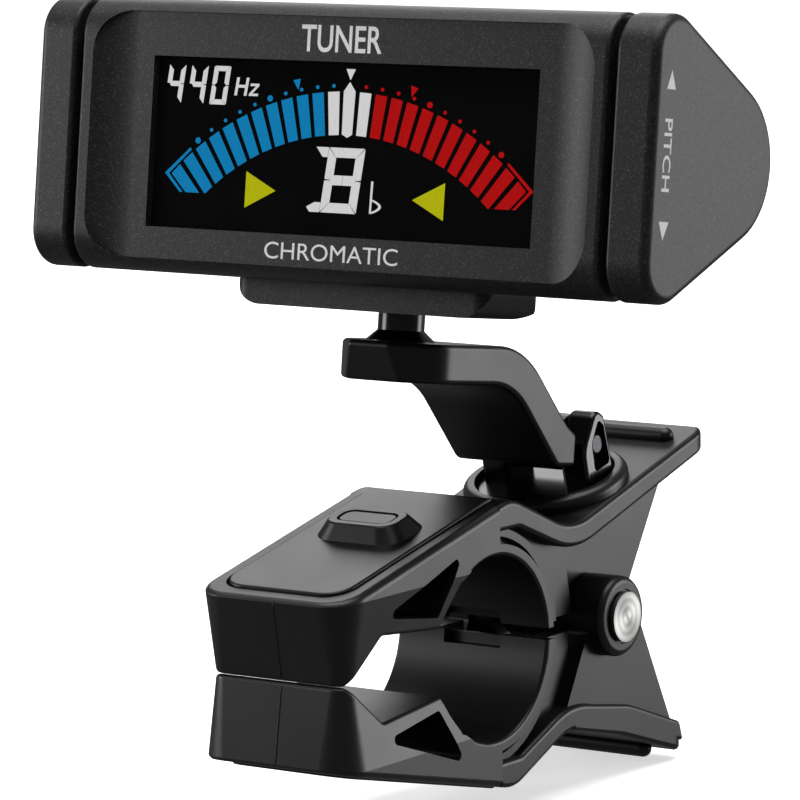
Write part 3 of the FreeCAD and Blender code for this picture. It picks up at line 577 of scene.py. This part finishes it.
def bar(index):
    """Wedge between two radii, cut off level at the foot of the scale."""
    middle_angle = index * BAR_STEP
    left, right = middle_angle - BAR_SPREAD, middle_angle + BAR_SPREAD
    ring = [at_angle(BAR_OUT, left), at_angle(BAR_OUT, right),
            at_angle(BAR_IN, right), at_angle(BAR_IN, left)]
    return cut_level(ring, SCALE_FLOOR)


def cut_level(ring, floor):
    """Keep the part of an outline above a level line."""
    kept = []
    for i, (x, z) in enumerate(ring):
        px, pz = ring[i - 1]
        if (pz < floor) != (z < floor):
            share = (floor - pz) / (z - pz)
            kept.append((px + share * (x - px), floor))
        if z >= floor:
            kept.append((x, z))
    return kept


def disc(centre, radius, count=20):
    """Round outline: centre + radius (cos a, sin a)."""
    angle = np.arange(count) * 2 * math.pi / count
    return np.column_stack([centre[0] + radius * np.cos(angle), centre[1] + radius * np.sin(angle)])


def dots(side):
    """Ten dots over one half of the scale; every fifth is larger."""
    made = []
    for i in range(1, 11):
        radius = BIG_DOT if i % 5 == 0 else SMALL_DOT
        made.append(disc(at_angle(DOT_R, side * i * BAR_STEP), radius))
    return made


def bracket(side):
    """Thin angled outline round the outer end of the scale."""
    ring = [(-18.59, -0.48), (-21.5, -3.03), (-19.60, SCALE_FLOOR), (-19.28, SCALE_FLOOR), (-21.06, -3.05),
            (-18.45, -0.66)]
    return [(ARC_X + x * -side, z) for x, z in ring]


def slanted(points, corner, slant=LEAN):
    """Move an outline to its corner and lean it to the right."""
    return [(corner[0] + x + slant * z, corner[1] + z) for x, z in points]


def seven_segment(width, height, bar_width, gap):
    """Outlines of the seven strokes of a digit, named a to g in the usual order, mitred where they meet."""
    w, h, t, g = width, height, bar_width, gap
    mid, half = h / 2, bar_width / 2
    return {
        "a": [(g, h), (w - g, h), (w - t, h - t), (t, h - t)],
        "b": [(w, h - g), (w, mid + g), (w - half, mid + g / 2), (w - t, mid + half), (w - t, h - t - g)],
        "c": [(w, mid - g), (w, g), (w - t, t + g), (w - t, mid - half), (w - half, mid - g / 2)],
        "d": [(g, 0), (t, t), (w - t, t), (w - g, 0)],
        "e": [(0, mid - g), (half, mid - g / 2), (t, mid - half), (t, t + g), (0, g)],
        "f": [(0, h - g), (t, h - t - g), (t, mid + half), (half, mid + g / 2), (0, mid + g)],
        "g": [(half + g, mid), (t, mid + half), (w - t, mid + half),
              (w - half - g, mid), (w - t, mid - half), (t, mid - half)],
    }


def digits():
    """The reference pitch, 440, in small leaning strokes."""
    strokes = {"4": "bcfg", "0": "abcdef"}
    left, foot, step = -21.65, 3.82, 2.72
    made = []
    for place, digit in enumerate("440"):
        cell = seven_segment(1.95, 3.75, 0.5, 0.06)
        corner = (left + place * step, foot)
        made += [slanted(cell[name], corner) for name in strokes[digit]]
    return made


def hertz():
    """The letters Hz, made of straight strokes."""
    t, high, right = 0.28, 1.75, 1.15
    capital = [
        [(0, 0), (t, 0), (t, high), (0, high)],
        [(right, 0), (right + t, 0), (right + t, high), (right, high)],
        [(t, 0.76), (right, 0.76), (right, 1.04), (t, 1.04)],
    ]
    small = [
        [(1.75, 0.95), (1.75, 1.2), (2.75, 1.2), (2.75, 0.98)],
        [(1.75, 0), (1.75, 0.22), (2.78, 0.25), (2.78, 0)],
        [(1.75, 0.22), (2.45, 0.96), (2.75, 0.98), (2.08, 0.24)],
    ]
    corner, lean = (-13.25, 4.78), 0.15
    return [slanted(ring, corner, lean) for ring in capital + small]


def note_letter():
    """Large note name drawn as an eight with two feet at its left, parted by thin gaps."""
    width, height, t, g = 4.2, 6.25, 0.95, 0.08
    cell = seven_segment(width, height, t, g)
    half, mid = width / 2, height / 2
    split = half - g / 2
    cell["g"] = [(t / 2 + g, mid), (t, mid + t / 2), (split, mid + t / 2),
                 (split, mid - t / 2), (t, mid - t / 2)]
    right = [(width - x, z) for x, z in cell["g"]]
    top_foot = [(-1.5, height), (-g, height), (-g, height - t), (-0.6, height - t)]
    low_foot = [(-1.65, t / 2), (-0.75, t), (-g, t), (-g, 0), (-1.2, 0)]
    rings = list(cell.values()) + [right, top_foot, low_foot]
    return [slanted(ring, (-2.35, -6.05)) for ring in rings]


def flat_sign():
    """The flat sign: a thin stem and a bowl between two curves.

    Each curve bulges to the right as a power of sin(pi * share) while it falls evenly to the foot.
    """
    stem = [(3.44, -5.95), (3.62, -5.75), (3.72, -2.85), (3.50, -2.85)]
    share = np.linspace(0.0, 1.0, 14)
    outer = np.column_stack([3.60 + 1.15 * np.sin(share * math.pi) ** 0.8, -4.55 - 1.4 * share])
    inner = np.column_stack([3.62 + 0.85 * np.sin(share * math.pi) ** 0.9, -4.72 - 1.05 * share])
    bowls = []
    for i in range(len(share) - 1):
        bowls.append([tuple(outer[i]), tuple(outer[i + 1]), tuple(inner[i + 1]), tuple(inner[i])])
    return [stem] + bowls


def display_figures():
    """Everything the display shows, as thin lit plates just in front of the cell."""
    centre_bar = [(0.38, 6.47), (1.05, 5.6), (0.92, 1.48), (0.36, 1.18), (-0.24, 1.48), (-0.28, 5.6)]
    groups = {
        "flat_side_scale": (BLUE, [bar(i) for i in range(-12, -1)] + dots(-1) + [bracket(-1)]
                            + [[(-6.28, 6.45), (-5.65, 5.57), (-5.47, 6.62)]]),
        "sharp_side_scale": (RED, [bar(i) for i in range(2, 13)] + dots(1) + [bracket(1)]
                             + [[(7.49, 6.38), (7.59, 5.29), (8.29, 6.14)]]),
        "in_tune_bars": (WHITE, [bar(-1), centre_bar, bar(1), [(-0.11, 7.73), (0.41, 6.70), (0.93, 7.73)]]),
        "reference_pitch": (WHITE, digits() + hertz()),
        "note_name": (WHITE, note_letter() + flat_sign()),
        "in_tune_arrows": (YELLOW, [[(-11.26, -2.51), (-11.27, -6.0), (-7.71, -4.24)],
                                    [(11.95, -2.67), (8.31, -4.42), (11.92, -6.2)]]),
    }
    for name, (finish, outlines) in groups.items():
        points, faces = plates(outlines, FIGURE_FRONT, FIGURE_BACK, HEAD)
        piece(name, points, faces, finish, "head")


# ---------------------------------------------------------------- printed words and marks
def lettering(name, words, height, width, place, finish, body, weight):
    """Raised print: letters scaled to a cap height and an overall width, then laid out by `place`."""
    curve = bpy.data.curves.new(name, "FONT")
    curve.body = words
    curve.align_x = "CENTER"
    curve.extrude = 0.5  # any thickness will do, since it is scaled below
    curve.offset = weight
    curve.resolution_u = 6
    text = bpy.data.objects.new(name, curve)
    bpy.context.scene.collection.objects.link(text)
    bpy.context.view_layer.update()
    depsgraph = bpy.context.evaluated_depsgraph_get()
    mesh = bpy.data.meshes.new_from_object(text.evaluated_get(depsgraph))
    bpy.data.objects.remove(text)
    flat = np.zeros(len(mesh.vertices) * 3)
    mesh.vertices.foreach_get("co", flat)
    flat = flat.reshape(-1, 3)
    low, high = flat.min(0), flat.max(0)
    share = (flat - low) / (high - low)
    x = (share[:, 0] - 0.5) * width
    z = share[:, 1] * height
    depth = share[:, 2]
    points = place(x, z, depth)
    mesh.vertices.foreach_set("co", points.ravel())
    mesh.materials.clear()
    mesh.materials.append(finish)
    mesh.update()
    made = bpy.data.objects.new(name, mesh)
    bpy.context.scene.collection.objects.link(made)
    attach(made, body)
    return made


PRINT_T = 0.02            # thickness of the print
SUNK = 0.01               # how far its back lies in the surface
BOLD = 0.012              # how much the strokes of a letter are widened


def front_words():
    """Generic words above and below the display."""
    def at(centre_x, base):
        def place(x, z, depth):
            return HEAD.put(np.column_stack([centre_x + x, SUNK - PRINT_T * depth, base + z]))
        return place
    above, below = at(-0.25, 9.2), at(-0.15, -10.75)
    lettering("print_above_display", "TUNER", 2.60, 9.4, above, INK, "head", BOLD)
    lettering("print_below_display", "CHROMATIC", 1.62, 15.6, below, INK, "head", 0.0)


def cap_marks():
    """Generic word and two arrow marks on the side face of the pitch cap."""
    def at(x, z, depth):
        level = CAP_FACE - SUNK + PRINT_T * depth
        return HEAD.put(np.column_stack([level, 0.62 + z, 0.95 - x]))
    lettering("print_on_pitch_cap", "PITCH", 1.35, 6.7, at, INK, "pitch_cap", BOLD)
    side = Plane(HEAD.put([(CAP_FACE, 0, 0)])[0], HEAD_BACK, -ACROSS, HEAD_UP)
    up_mark = [(0.62, 7.0), (2.12, 7.0), (1.37, 8.75)]
    down_mark = [(0.50, -5.15), (1.32, -6.9), (2.2, -5.15)]
    points, faces = plates([up_mark, down_mark], -PRINT_T, SUNK, side)
    piece("arrows_on_pitch_cap", points, faces, INK, "pitch_cap")


# ---------------------------------------------------------------- mould lines
def parting_line(name, pad, body, sign):
    """Fine flash line where the halves of the pad's mould met: a round wire down the front face.

    The face leans back towards the tip, so y = foremost y + lean * (widest level - distance from the split).
    """
    lean = 0.1603
    widest, tip, top = 7.8 * MM, 0.35 * MM, 7.75 * MM
    across, radius = 0.6 * MM, 0.07 * MM
    level = np.linspace(tip, top, 14)
    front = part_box(pad)[0].y + lean * (widest - level)
    path = np.column_stack([np.full_like(level, across), front, level * sign])
    points, faces = wire(path, radius, 6)
    return piece(name, points, faces, RUBBER, body, True)


make_camera()
make_floor()
make_studio()
dress_nodes()
torsion_spring()
cap_springs()
cell_contact_spring()
display_figures()
front_words()
cap_marks()
parting_line("upper_pad_parting_line", "upper_pad", "upper_jaw", 1)
parting_line("lower_pad_parting_line", "lower_pad", "lower_jaw", -1)
